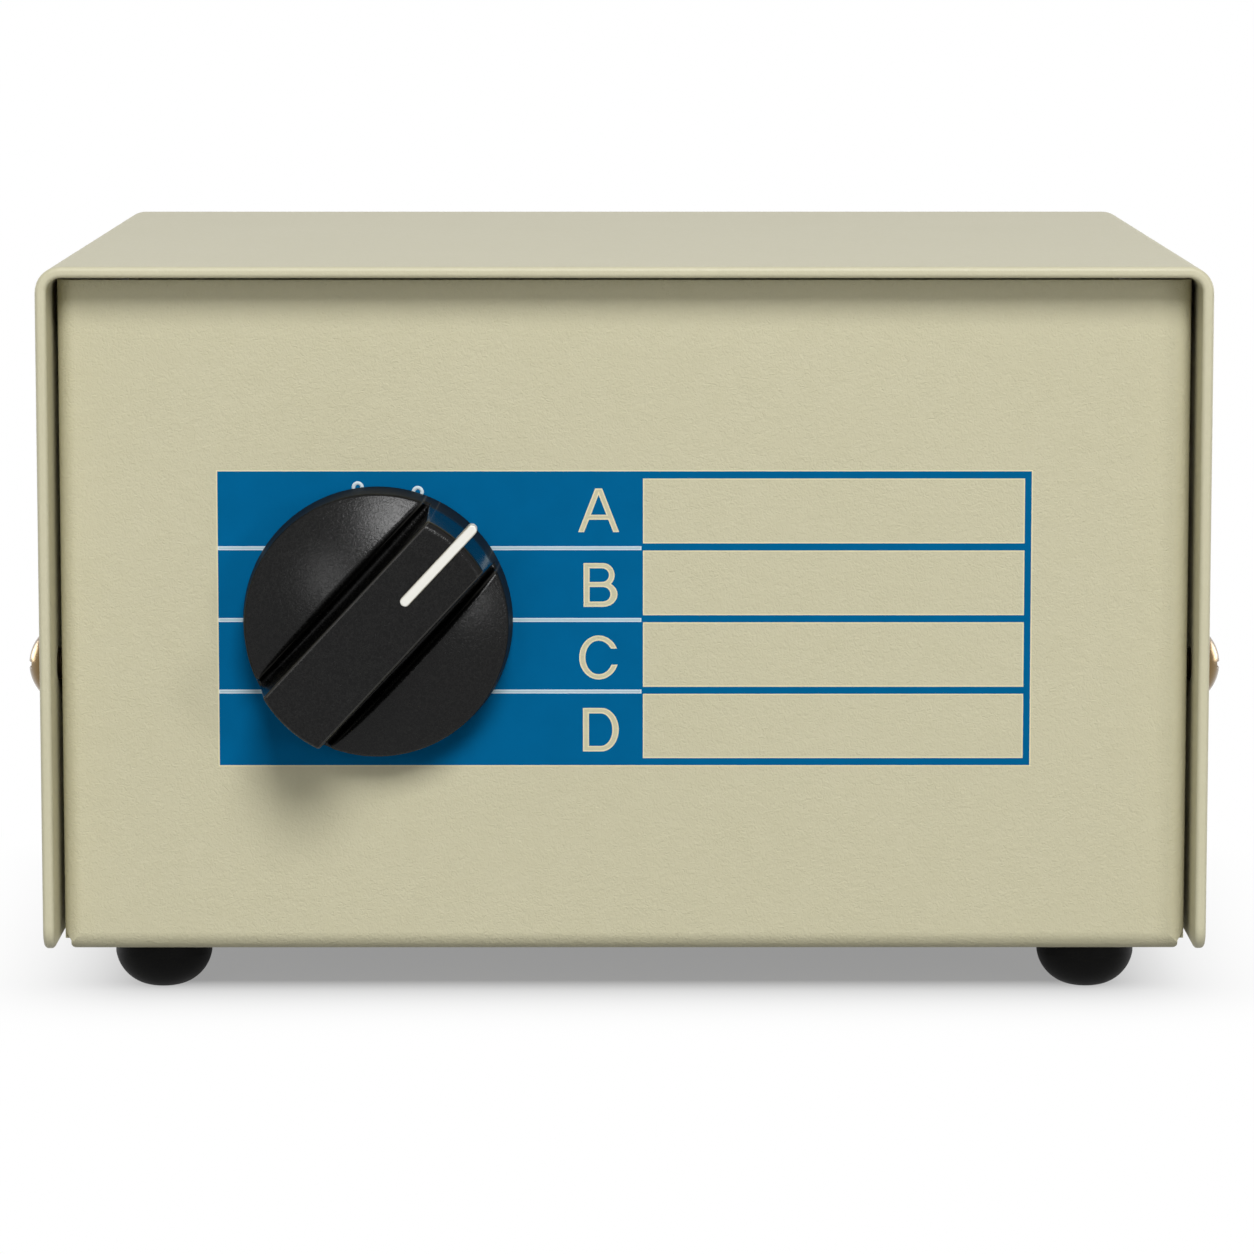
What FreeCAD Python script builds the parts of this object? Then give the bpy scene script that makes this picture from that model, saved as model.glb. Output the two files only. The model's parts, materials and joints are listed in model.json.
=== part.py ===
"""Four-way coaxial switch box: a bent steel case, a rotary wafer switch and five bayonet sockets.

Millimetres, +Z up. The front panel faces -Y and the socket panel faces +Y. Each piece is drawn about the
middle of the case and saved about the middle of the whole, knob and sockets included, on the surface that
the box stands on.
"""

import FreeCAD, Part
import math
import os

Vector = FreeCAD.Vector

# Case: an inverted-U cover over a bent tray
case_width = 154.0
case_depth = 134.0
case_height = 91.6  # underside of the tray to the top of the cover
cover_sheet = 1.5
cover_bend = 3.4  # outer radius
cover_rim_round = 0.6
cover_corner_round = 3.0  # lower corners of the side walls
cover_lift = 0.9  # side walls end this far above the tray's underside
tray_sheet = 1.0
tray_bend = 2.4  # outer radius
tray_side_gap = 0.7  # between the cover's walls and the tray
panel_recess = 6.0  # both panels stand back from the cover's rims
panel_top_gap = 0.6  # under the top of the cover
flange_depth = 12.0  # side flanges of both panels
collar_wall = 0.9  # drawn collars round the tapped holes
collar_height = 1.6
relief_height = 2.6  # corner relief between a flange and the floor
relief_knee = 1.25  # lower edge of a flange, above the underside
relief_step = 0.95
relief_round = 0.8

# Cover screws
screw_setback = 11.0  # behind a rim of the cover
screw_height = 38.0  # above the tray's underside
screw_shank_radius = 2.0
screw_shank_length = 8.0
screw_head_radius = 4.7
screw_head_height = 2.4
screw_hole_gap = 0.3
cross_recess_reach = 2.3
cross_recess_width = 0.9
cross_recess_depth = 1.5

# Push-in rubber feet
foot_height = 6.75
foot_radius = 6.5
foot_straight = 2.2  # height of the straight side under the tray
foot_toe_radius = 1.8  # flat at the bottom of the dome
foot_inset = 14.6  # from a side of the case
foot_setback = 18.0  # from a rim of the cover
foot_stem_radius = 2.5
foot_barb_radius = 3.4
foot_barb_height = 3.2
foot_barb_land = 0.8  # straight part of the barb
foot_barb_tip_radius = 1.75
foot_hole_gap = 0.1

# Selector: knob, shaft and index
knob_across = -32.6  # from the middle of the case
knob_up = 44.45  # above the tray's underside
pointer_angle = 43.0  # clockwise from upright at rest
index_stops = 14  # in a full turn
positions = 4
knob_radius = 17.85  # of the skirt, at its foot
knob_draft = 5.0  # degrees, of the skirt and of the grip's ends
knob_gap = 0.8  # between skirt and panel
knob_rim = 6.0  # heights above the panel
knob_dome = 10.4
knob_top = 16.6
rim_round = 0.5  # rim of the skirt and mouths of the flutes
crest_round = 0.8
flute_floor_middle = 6.9  # heights of a flute's floor above the panel
flute_floor_end = 4.4
flute_floor_half = 6.1
flute_floor_round = 0.5
flute_draft = 16.0  # degrees
crest_wall_share = 1.4  # most that a crest's round may take of the wall left for it at the rim
corner_wall_share = 0.4  # most that the floor's and the rim's rounds may take of the whole wall there
grip_half = 4.9  # half the width at the top
grip_draft = 4.0  # degrees, of the grip's sides
grip_tip_round = 1.3
grip_foot_round = 0.6
grip_edge_round = 0.4
knob_nut_well_radius = 8.4
knob_nut_well_height = 4.0
skirt_groove_inner = 9.6
skirt_groove_outer = 15.2
skirt_groove_depth = 0.9
bush_radius = 5.0
bush_top = 14.0
bush_bottom = 4.4
set_screw_radius = 2.0
set_screw_length = 6.0
set_screw_height = 9.2
set_screw_key_radius = 1.0
set_screw_key_depth = 2.5
pointer_width = 1.35
pointer_start = 5.5
pointer_overhang = 1.65  # past the foot of the skirt
pointer_depth = 2.2
pointer_proud = 0.3
pointer_round = 0.2
shaft_radius = 3.0
shaft_top = 13.0
shaft_flat_depth = 0.6
shaft_flat_start = 4.0  # above the panel
shaft_end_gap = 0.2  # between the shaft and the end of its bore
shaft_tail = 0.6  # behind the star wheel
seat_gap = 0.02  # between pieces that are seated on each other
running_gap = 0.05  # between a shaft and its bearing

# Switch frame, behind the front panel
thread_radius = 4.75
thread_top = 3.4
thread_chamfer = 0.4
thread_hole_gap = 0.12  # between a thread and the panel
panel_washer_thickness = 0.6
panel_washer_radius = 7.0
washer_teeth = 12
washer_notch_depth = 1.1
washer_notch_width = 0.9
panel_nut_flats = 12.7
panel_nut_thickness = 2.2
nut_turn_down = 0.6  # drop of a nut's corners, as a share of how far they stand out
index_plate_thickness = 1.5
frame_hole_spacing = 40.0
frame_ear_radius = 4.0
lug_radius = 1.4
lug_offset = 13.0
lug_inset = 0.1  # end of the lug inside the panel's face
lug_hole_gap = 0.1
bushing_seat_radius = 5.4
bushing_shoulder_radius = 6.6
bushing_shoulder_thickness = 0.8
wheel_end_gap = 0.3
stop_plate_thickness = 1.2
stop_plate_radius = 7.6
stop_arm_reach = 12.8
stop_arm_half_angle = 8.0
stop_tab_inner = 11.0
stop_tab_outer = 14.4
stop_tab_half_angle = 4.0
stop_gap_angle = 1.0
wheel_thickness = 3.2
wheel_tip_radius = 8.8
notch_radius = 1.9
notch_depth = 0.75
roller_radius = 1.6
roller_end_gap = 0.1  # a roller is this much shorter than the wheel at each end
spring_edge_gap = 0.2
spring_sheet = 0.4
spring_half_span = 9.0
post_radius = 1.2
post_margin = 1.6  # plate left outside a post

# Wafer
spacer_length = 12.5
spacer_radius = 2.8
tie_rod_radius = 1.5
tie_rod_end_gap = 0.1  # short of the panel
tie_head_flats = 5.5
tie_head_height = 2.4
wafer_thickness = 1.6
wafer_radius = 18.0
wafer_opening_radius = 13.4
rotor_radius = 7.5
rotor_thickness = 3.2
contact_thickness = 0.5
contact_ring_inner = 5.2
contact_ring_outer = 9.8
tongue_reach = 12.0
tongue_width = 3.0
blade_width = 4.0
blade_thickness = 1.2
blade_seat_depth = 2.6  # length of the blade held in the shaft
blade_overrun = 1.2  # behind the rotor
clip_sheet = 0.3
clip_width = 2.2
clip_heel = 16.4
clip_rivet_offset = 15.3
clip_rivet_radius = 0.6
clip_rivet_head_radius = 0.96
clip_rivet_head_height = 0.35
clip_jaw = 11.3
common_clip_jaw = 9.4
clip_jaw_slope = 1.7  # from the flat of the leaf to the jaw
clip_lip = 0.7
clip_lip_rise = 0.35
tail_reach = 21.4
tail_width = 1.7
tail_lap = 1.0  # under the heel of the clip
tongue_lap = 1.0  # into the contact ring
lead_landing = 19.8  # where a lead meets the tail

# Coaxial sockets on the rear panel
socket_pitch = 30.0
socket_row_up = 60.0  # above the tray's underside
common_socket_up = 30.0
socket_flange_radius = 7.0
socket_flange_thickness = 2.0
socket_reach = 12.6  # tip of the barrel from the panel
barrel_radius = 4.8
barrel_tip_length = 4.0
barrel_waist_radius = 4.6
barrel_bore_radius = 4.1
barrel_bore_depth = 8.4
barrel_edge = 0.3
lug_pin_radius = 0.98
lug_pin_reach = 5.5
lug_pin_setback = 5.1
socket_thread_radius = 4.76
socket_thread_length = 9.0
socket_thread_flat = 4.3
socket_tail_radius = 3.6
socket_tail_length = 12.5
insulator_radius = 2.45
insulator_face = 10.2
contact_radius = 1.07
contact_bore_radius = 0.7
contact_bore_depth = 5.2
contact_face = 9.9
contact_slot_width = 0.24
contact_slot_setback = 1.0  # from the bottom of the contact's bore
solder_pot_length = 4.5
solder_pot_bore = 0.62
solder_pot_depth = 3.0
ground_lug_thickness = 0.5
ground_lug_radius = 6.4
ground_lug_reach = 12.8
ground_lug_width = 3.4
ground_lug_hole = 0.9
socket_washer_thickness = 0.6
socket_washer_radius = 6.8
socket_nut_flats = 13.0
socket_nut_thickness = 2.4

# Coaxial leads inside the case
lead_radius = 1.4
core_radius = 0.45
bare_core = 5.5
lead_straight = 22.0  # run at each end before a lead turns off
lead_bend_share = 0.45  # of that run taken by the bend
lead_bend_limit = 200.0  # largest bend radius
drain_radius = 0.4
drain_gap = 0.08
drain_lap = 0.5  # along the jacket

# Worked out from the sizes above
front_reach = knob_top + pointer_proud
pointer_tip = knob_radius + pointer_overhang
whole_middle = (socket_reach - front_reach) / 2  # from the middle of the case, along Y
floor_under = foot_height
floor_top = foot_height + tray_sheet
cover_top = foot_height + case_height
knob_z = floor_under + knob_up
rim_y = case_depth / 2
panel_y = rim_y - panel_recess  # outer face of either panel
tray_half_width = case_width / 2 - cover_sheet - tray_side_gap
index_pitch = 360.0 / index_stops
selector_travel = (positions - 1) * index_pitch
index_plate_back = -tray_sheet - index_plate_thickness
wheel_front = index_plate_back - bushing_shoulder_thickness - wheel_end_gap
star_front = wheel_front - stop_plate_thickness
star_back = star_front - wheel_thickness
shaft_back = star_back - shaft_tail
roller_offset = wheel_tip_radius + roller_radius + running_gap
spring_inner = roller_offset + roller_radius + seat_gap
post_offset = spring_inner + spring_sheet + post_radius + seat_gap
index_plate_radius = math.hypot(post_offset, spring_half_span) + post_radius + post_margin
wafer_front = index_plate_back - spacer_length
wafer_middle = wafer_front - wafer_thickness / 2
wafer_back = wafer_front - wafer_thickness
frame_ear = frame_hole_spacing / 2
contact_name_angles = {
    name: -pointer_angle + (positions - 1 - i) * index_pitch for i, name in enumerate("abcd"[:positions])
}
common_angle = sum(contact_name_angles.values()) / positions + 180.0
socket_places = {
    name: ((i - (positions - 1) / 2) * socket_pitch, floor_under + socket_row_up)
    for i, name in enumerate("abcd"[:positions])
}
socket_places["common"] = (0.0, floor_under + common_socket_up)


# Drawing helpers


def rod(radius, start, end):
    """A round bar between two points."""
    start, end = Vector(*start), Vector(*end)
    return Part.makeCylinder(radius, (end - start).Length, start, end - start)


def disc(radius, low, high, x=0.0, y=0.0):
    """A round bar along Z."""
    return Part.makeCylinder(radius, high - low, Vector(x, y, low))


def ring(outer, inner, low, high, x=0.0, y=0.0):
    return disc(outer, low, high, x, y).cut(disc(inner, low - 1, high + 1, x, y))


def block(x0, x1, y0, y1, z0, z1):
    return Part.makeBox(x1 - x0, y1 - y0, z1 - z0, Vector(x0, y0, z0))


def rounded_path(points, radii, closed=False):
    """Straight runs through the points, each corner rounded by a tangent arc of its radius."""
    points = [Vector(*p) for p in points]
    count = len(points)
    corners = range(count) if closed else range(1, count - 1)
    trims = {}
    for i in corners:
        back = (points[i - 1] - points[i]).normalize()
        ahead = (points[(i + 1) % count] - points[i]).normalize()
        half_turn = (math.pi - back.getAngle(ahead)) / 2
        radius = radii[i]
        if radius < 1e-6 or half_turn < 1e-6:
            trims[i] = (points[i], None, points[i])
            continue
        trim = radius * math.tan(half_turn)
        middle = (back + ahead).normalize() * (radius / math.cos(half_turn) - radius)
        trims[i] = (points[i] + back * trim, points[i] + middle, points[i] + ahead * trim)
    edges = []
    for i in range(count if closed else count - 1):
        j = (i + 1) % count
        start = trims[i][2] if i in trims else points[i]
        end = trims[j][0] if j in trims else points[j]
        if (end - start).Length > 1e-7:
            edges.append(Part.LineSegment(start, end).toShape())
        if j in trims and trims[j][1] is not None:
            edges.append(Part.Arc(*trims[j]).toShape())
    return Part.Wire(edges)


def rounded_face(points, radii):
    return Part.Face(rounded_path(points, radii, closed=True))


def sharp_face(points):
    return rounded_face(points, [0.0] * len(points))


def lathe(profile):
    """Turns a closed (radius, height) outline about Z."""
    return sharp_face([(r, 0, h) for r, h in profile]).revolve(Vector(0, 0, 0), Vector(0, 0, 1), 360)


def hexagon(flats, low, high):
    corner = flats / 2 / math.cos(math.radians(30))
    angles = [math.radians(60 * i) for i in range(6)]
    points = [(corner * math.cos(angle), corner * math.sin(angle), low) for angle in angles]
    return sharp_face(points).extrude(Vector(0, 0, high - low))


def turned(shape, degrees):
    """A copy turned about Z."""
    copy = shape.copy()
    copy.rotate(Vector(0, 0, 0), Vector(0, 0, 1), degrees)
    return copy


def fuse_all(shapes):
    return shapes[0].multiFuse(shapes[1:]).removeSplitter()


def edges_where(shape, test):
    return [edge for edge in shape.Edges if test(edge)]


# Frames: X up and Z straight out of the panel, from the panel's outer face


def front_frame(shape):
    """From the selector's frame, whose X is up and whose Z faces the user, to the case."""
    matrix = FreeCAD.Matrix(0, -1, 0, knob_across, 0, 0, -1, -panel_y, 1, 0, 0, knob_z, 0, 0, 0, 1)
    placed = shape.copy()
    placed.Placement = FreeCAD.Placement(matrix).multiply(placed.Placement)
    return placed


def front_point(x, y, z):
    return Vector(knob_across - y, -panel_y - z, knob_z + x)


def rear_frame(shape, place):
    """From a socket's frame, whose X is up and whose Z points away from the rear panel, to the case."""
    across, up = place
    matrix = FreeCAD.Matrix(0, 1, 0, across, 0, 0, 1, panel_y, 1, 0, 0, up, 0, 0, 0, 1)
    placed = shape.copy()
    placed.Placement = FreeCAD.Placement(matrix).multiply(placed.Placement)
    return placed


# Case


def cover_screw_points():
    """Screw axes on the cover's left and right walls, front and rear."""
    y = rim_y - screw_setback
    return [(side, end * y, floor_under + screw_height) for side in (-1, 1) for end in (-1, 1)]


def foot_points():
    x = case_width / 2 - foot_inset
    y = rim_y - foot_setback
    return {
        "front_left": (-x, -y),
        "front_right": (x, -y),
        "rear_left": (-x, y),
        "rear_right": (x, y),
    }


def cover():
    """Inverted U with rounded rims and rounded lower corners."""
    half = case_width / 2
    inner = half - cover_sheet
    low = floor_under + cover_lift
    inner_bend = cover_bend - cover_sheet
    outline = [
        (-half, -rim_y, low),
        (-half, -rim_y, cover_top),
        (half, -rim_y, cover_top),
        (half, -rim_y, low),
        (inner, -rim_y, low),
        (inner, -rim_y, cover_top - cover_sheet),
        (-inner, -rim_y, cover_top - cover_sheet),
        (-inner, -rim_y, low),
    ]
    radii = [0, cover_bend, cover_bend, 0, 0, inner_bend, inner_bend, 0]
    shape = rounded_face(outline, radii).extrude(Vector(0, case_depth, 0))
    side = [
        (-half, -rim_y, low),
        (-half, rim_y, low),
        (-half, rim_y, cover_top),
        (-half, -rim_y, cover_top),
    ]
    side_radii = [cover_corner_round, cover_corner_round, 0, 0]
    shape = shape.common(rounded_face(side, side_radii).extrude(Vector(case_width, 0, 0)))

    def rim(edge):
        return abs(abs(edge.CenterOfMass.y) - rim_y) < 1e-4 and edge.Length > cover_sheet + 1e-3

    shape = shape.makeFillet(cover_rim_round, edges_where(shape, rim))
    hole = screw_shank_radius + screw_hole_gap
    for side_sign, y, z in cover_screw_points():
        shape = shape.cut(rod(hole, (side_sign * (inner - 1), y, z), (side_sign * (half + 1), y, z)))
    return shape


def panel_pan():
    """Front panel with its side flanges and the bend into the floor, its outer face at -panel_y."""
    half = tray_half_width
    front = -panel_y
    back = front + flange_depth
    top = cover_top - cover_sheet - panel_top_gap
    pan = block(-half, half, front, back, floor_under, top)
    bends = edges_where(
        pan,
        lambda e: abs(e.CenterOfMass.y - front) < 1e-6 and e.CenterOfMass.z < top - 1e-6,
    )
    pan = pan.makeFillet(tray_bend, bends)
    t = tray_sheet
    hollow = block(-half + t, half - t, front + t, back + 1, floor_top, top + 1)
    inner_bends = edges_where(
        hollow,
        lambda e: abs(e.CenterOfMass.y - front - t) < 1e-6 and e.CenterOfMass.z < top,
    )
    return pan.cut(hollow.makeFillet(tray_bend - t, inner_bends))


def corner_relief(side):
    """Slot between a panel's flange and the floor, with the panel's corner cut back and rounded."""
    half = tray_half_width
    step = half - relief_step
    front = -panel_y - 1
    back = -panel_y + flange_depth
    knee = floor_under + relief_knee
    slot = block(*sorted((side * step, side * (half + 1))), front, back, floor_under - 1, knee)
    outline = [
        (side * (half + 1), front, knee),
        (side * (half + 1), front, floor_under + relief_height),
        (side * half, front, floor_under + relief_height),
        (side * step, front, knee),
    ]
    cut_back = sharp_face(outline).extrude(Vector(0, 1 + tray_bend, 0))
    middle = side * (step - relief_round)
    top = floor_under + relief_round
    corner = block(*sorted((side * step, middle)), front, back, floor_under - 1, top)
    corner = corner.cut(rod(relief_round, (middle, front - 1, top), (middle, back + 1, top)))
    return fuse_all([slot, cut_back, corner])


def tray():
    """Floor with a front panel and a rear panel, bent from one sheet."""
    inner = tray_half_width - tray_sheet
    pan = panel_pan().cut(corner_relief(-1)).cut(corner_relief(1))
    floor = block(
        -tray_half_width,
        tray_half_width,
        -panel_y + flange_depth,
        panel_y - flange_depth,
        floor_under,
        floor_top,
    )
    collars = [
        rod(screw_shank_radius + collar_wall, (side * inner, y, z), (side * (inner - collar_height), y, z))
        for side, y, z in cover_screw_points()
    ]
    shape = fuse_all([pan, pan.mirror(Vector(0, 0, 0), Vector(0, 1, 0)), floor] + collars)
    holes = []
    ends = inner - collar_height - 1, tray_half_width + 1
    for side, y, z in cover_screw_points():
        holes.append(rod(screw_shank_radius + seat_gap, (side * ends[0], y, z), (side * ends[1], y, z)))
    for x, y in foot_points().values():
        holes.append(disc(foot_stem_radius + foot_hole_gap, floor_under - 1, floor_top + 1, x, y))
    holes.append(front_frame(disc(thread_radius + thread_hole_gap, -tray_sheet - 1, 1)))
    holes.append(front_frame(disc(lug_radius + lug_hole_gap, -tray_sheet - 1, 1, -lug_offset)))
    hole_radius = socket_thread_radius + thread_hole_gap
    flat = socket_thread_flat + thread_hole_gap
    d_hole = disc(hole_radius, -tray_sheet - 1, 1)
    d_hole = d_hole.cut(block(flat, hole_radius + 1, -hole_radius, hole_radius, -tray_sheet - 2, 2))
    holes += [rear_frame(d_hole, place) for place in socket_places.values()]
    return shape.cut(Part.makeCompound(holes))


def cover_screws():
    """Truss-head screws with a cross recess, through the cover into the tray's flanges."""
    radius = screw_head_radius
    height = screw_head_height
    sphere = (radius**2 + height**2) / (2 * height)
    centre = height - sphere
    bend = math.sqrt(sphere**2 - (radius / 2) ** 2) + centre
    dome = Part.Wire(
        [
            Part.LineSegment(Vector(0, 0, 0), Vector(radius, 0, 0)).toShape(),
            Part.Arc(Vector(radius, 0, 0), Vector(radius / 2, 0, bend), Vector(0, 0, height)).toShape(),
            Part.LineSegment(Vector(0, 0, height), Vector(0, 0, 0)).toShape(),
        ]
    )
    head = Part.Face(dome).revolve(Vector(0, 0, 0), Vector(0, 0, 1), 360)
    wing = block(
        -cross_recess_reach,
        cross_recess_reach,
        -cross_recess_width / 2,
        cross_recess_width / 2,
        height - cross_recess_depth,
        height + 1,
    )
    head = head.cut(wing).cut(turned(wing, 90))
    screw = head.fuse(disc(screw_shank_radius, -screw_shank_length, 0))
    screws = []
    for side, y, z in cover_screw_points():
        copy = screw.copy()
        copy.rotate(Vector(0, 0, 0), Vector(0, 1, 0), side * 90)
        copy.translate(Vector(side * case_width / 2, y, z))
        screws.append(copy)
    return Part.makeCompound(screws)


def foot(x, y):
    """Domed foot with a stem and barb that hold it in the floor."""
    crown_z = foot_height - foot_straight
    side = Vector(foot_radius, 0, crown_z)
    toe = Vector(foot_toe_radius, 0, 0)
    half_height = crown_z / math.sqrt(1 - (foot_toe_radius / foot_radius) ** 2)
    bend = math.radians(45)
    middle = Vector(foot_radius * math.cos(bend), 0, crown_z - half_height * math.sin(bend))
    crown = Part.Arc(side, middle, toe).toShape()
    barb_z = foot_height + tray_sheet
    tip = barb_z + foot_barb_height
    corners = [
        toe,
        Vector(0, 0, 0),
        Vector(0, 0, tip),
        Vector(foot_barb_tip_radius, 0, tip),
        Vector(foot_barb_radius, 0, barb_z + foot_barb_land),
        Vector(foot_barb_radius, 0, barb_z),
        Vector(foot_stem_radius, 0, barb_z),
        Vector(foot_stem_radius, 0, foot_height),
        Vector(foot_radius, 0, foot_height),
        side,
    ]
    edges = [Part.LineSegment(a, b).toShape() for a, b in zip(corners, corners[1:])]
    outline = Part.Wire(Part.__sortEdges__(edges + [crown]))
    shape = Part.Face(outline).revolve(Vector(0, 0, 0), Vector(0, 0, 1), 360)
    shape.translate(Vector(x, y, 0))
    return shape


# Knob, in the selector's frame with the pointer along X


def skirt_radius(height):
    return knob_radius - (height - knob_gap) * math.tan(math.radians(knob_draft))


def arc_through(reach, end, middle):
    """Circle over the axis through (reach, end) and (0, middle): its centre's height and its radius."""
    rise = middle - end
    radius = (reach**2 + rise**2) / (2 * rise)
    return middle - radius, radius


def capped_cone(high, cap_reach, cap_middle):
    """Drafted skirt up to a height, closed by a dome that ends at the skirt."""
    centre, radius = arc_through(cap_reach, high, cap_middle)
    halfway = cap_reach / 2
    outline = [
        Part.LineSegment(Vector(0, 0, knob_gap), Vector(knob_radius, 0, knob_gap)),
        Part.LineSegment(Vector(knob_radius, 0, knob_gap), Vector(cap_reach, 0, high)),
        Part.Arc(
            Vector(cap_reach, 0, high),
            Vector(halfway, 0, centre + math.sqrt(radius**2 - halfway**2)),
            Vector(0, 0, cap_middle),
        ),
        Part.LineSegment(Vector(0, 0, cap_middle), Vector(0, 0, knob_gap)),
    ]
    face = Part.Face(Part.Wire([edge.toShape() for edge in outline]))
    return face.revolve(Vector(0, 0, 0), Vector(0, 0, 1), 360)


def knob_skirt():
    """Domed skirt with two flutes that run along the grip, rounded at crests, mouths and rim."""
    rim_radius = skirt_radius(knob_rim)
    body = capped_cone(knob_rim, rim_radius, knob_dome)
    dome_centre, dome_radius = arc_through(rim_radius, knob_rim, knob_dome)
    height, radius = arc_through(rim_radius, flute_floor_end, flute_floor_middle)
    corner_rise = (flute_floor_middle - flute_floor_end) * (flute_floor_half / rim_radius) ** 2
    corner_wall = knob_rim - flute_floor_end - corner_rise
    floor_round = min(flute_floor_round, corner_wall_share * corner_wall)
    rise = knob_dome - knob_gap
    spread = rise * math.tan(math.radians(flute_draft))
    flutes = rounded_face(
        [
            (0, -flute_floor_half, flute_floor_middle),
            (0, flute_floor_half, flute_floor_middle),
            (0, flute_floor_half + spread, flute_floor_middle + rise),
            (0, -flute_floor_half - spread, flute_floor_middle + rise),
        ],
        [floor_round, floor_round, 0, 0],
    )
    pivot = Vector(0, 0, height)
    sweep = 2 * math.degrees(math.asin(knob_radius / radius))
    flutes.rotate(pivot, Vector(0, 1, 0), -sweep)
    body = body.cut(flutes.revolve(pivot, Vector(0, 1, 0), 2 * sweep))
    crest_top = dome_centre + math.sqrt(dome_radius**2 - flute_floor_half**2)
    mid_wall = (flute_floor_middle + crest_top) / 2

    def crest(edge):
        box = edge.BoundBox
        return box.XLength > knob_radius > box.YLength and box.ZMax > mid_wall

    def rim(edge):
        return edge.BoundBox.ZMin > knob_gap + 1e-3 and edge.BoundBox.ZMax < knob_rim + 1e-3

    # The crest falls faster than the floor, so its round needs wall a little past the rim as well
    closing = rim_radius / (knob_rim - dome_centre) - rim_radius / (flute_floor_end - height)
    crest_wall = corner_wall - floor_round - closing * crest_round
    body = body.makeFillet(min(crest_round, crest_wall_share * crest_wall), edges_where(body, crest))
    return body.makeFillet(min(rim_round, corner_wall_share * corner_wall), edges_where(body, rim))


def knob_grip():
    """Bar across the knob: drafted sides, and ends that carry on the skirt's cone."""
    low = knob_gap
    spread = (knob_top - low) * math.tan(math.radians(grip_draft))
    sides = sharp_face(
        [
            (0, -grip_half - spread, low),
            (0, grip_half + spread, low),
            (0, grip_half, knob_top),
            (0, -grip_half, knob_top),
        ]
    )
    halves = []
    for end, round_radius in ((1, grip_tip_round), (-1, grip_foot_round)):
        outline = [
            (0, 0, low),
            (end * knob_radius, 0, low),
            (end * skirt_radius(knob_top), 0, knob_top),
            (0, 0, knob_top),
        ]
        turn = rounded_face(outline, [0, 0, round_radius, 0]).revolve(Vector(0, 0, 0), Vector(0, 0, 1), 360)
        halves.append(turn.common(sides.extrude(Vector(end * (knob_radius + 1), 0, 0))))
    grip = fuse_all(halves)

    def side(edge):
        return edge.BoundBox.YLength < spread + grip_edge_round and edge.BoundBox.ZMax > low + 1e-3

    return grip.makeFillet(grip_edge_round, edges_where(grip, side))


def pointer_outline(width):
    """Straight strip with round ends, from pointer_start to pointer_tip."""
    half = width / 2
    strip = block(pointer_start + half, pointer_tip - half, -half, half, 0, 1)
    ends = [disc(half, 0, 1, pointer_start + half), disc(half, 0, 1, pointer_tip - half)]
    shape = fuse_all([strip] + ends)
    return Part.Face([f for f in shape.Faces if f.CenterOfMass.z > 1 - 1e-6][0].OuterWire)


def knob_pointer():
    outline = pointer_outline(pointer_width)
    outline.translate(Vector(0, 0, knob_top - pointer_depth - 1))
    blade = outline.extrude(Vector(0, 0, pointer_depth + pointer_proud))
    top = edges_where(blade, lambda e: e.BoundBox.ZMin > knob_top + pointer_proud - 1e-4)
    return blade.makeFillet(pointer_round, top)


def set_screw_hole(radius):
    return rod(radius, (-knob_radius - 2, 0, set_screw_height), (0, 0, set_screw_height))


def knob_body():
    body = fuse_all([knob_skirt(), knob_grip()])
    body = body.cut(disc(knob_nut_well_radius, 0, knob_nut_well_height))
    body = body.cut(ring(skirt_groove_outer, skirt_groove_inner, 0, knob_gap + skirt_groove_depth))
    body = body.cut(disc(bush_radius + seat_gap, 0, bush_top + seat_gap))
    body = body.cut(set_screw_hole(set_screw_radius + seat_gap))
    slot = pointer_outline(pointer_width + 2 * seat_gap)
    slot.translate(Vector(0, 0, knob_top - pointer_depth - seat_gap - 1))
    return body.cut(slot.extrude(Vector(0, 0, pointer_depth + pointer_proud + 1)))


def knob_bush():
    bush = disc(bush_radius, bush_bottom, bush_top)
    bush = bush.cut(disc(shaft_radius + running_gap, bush_bottom - 1, shaft_top + shaft_end_gap))
    return bush.cut(set_screw_hole(set_screw_radius + seat_gap))


def shaft_with_flat(low, high):
    """Shaft with the flat that the set screw bears on."""
    flat = shaft_radius - shaft_flat_depth
    wide = shaft_radius + 1
    return disc(shaft_radius, low, high).cut(block(-wide, -flat, -wide, wide, shaft_flat_start, high + 1))


def knob_set_screw():
    start = -(shaft_radius - shaft_flat_depth) - seat_gap
    end = start - set_screw_length
    screw = rod(set_screw_radius, (end, 0, set_screw_height), (start, 0, set_screw_height))
    socket = hexagon(2 * set_screw_key_radius * math.cos(math.radians(30)), 0, set_screw_key_depth)
    socket.rotate(Vector(0, 0, 0), Vector(0, 1, 0), 90)
    socket.translate(Vector(end, 0, set_screw_height))
    return screw.cut(socket)


def switch_shaft():
    half = blade_thickness / 2 + seat_gap
    wide = shaft_radius + 1
    seat = block(-half, half, -wide, wide, shaft_back - 1, shaft_back + blade_seat_depth + seat_gap)
    return shaft_with_flat(shaft_back, shaft_top).cut(seat)


def drive_blade():
    half = blade_thickness / 2
    end = wafer_middle - rotor_thickness / 2 - blade_overrun
    return block(-half, half, -blade_width / 2, blade_width / 2, end, shaft_back + blade_seat_depth)


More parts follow.
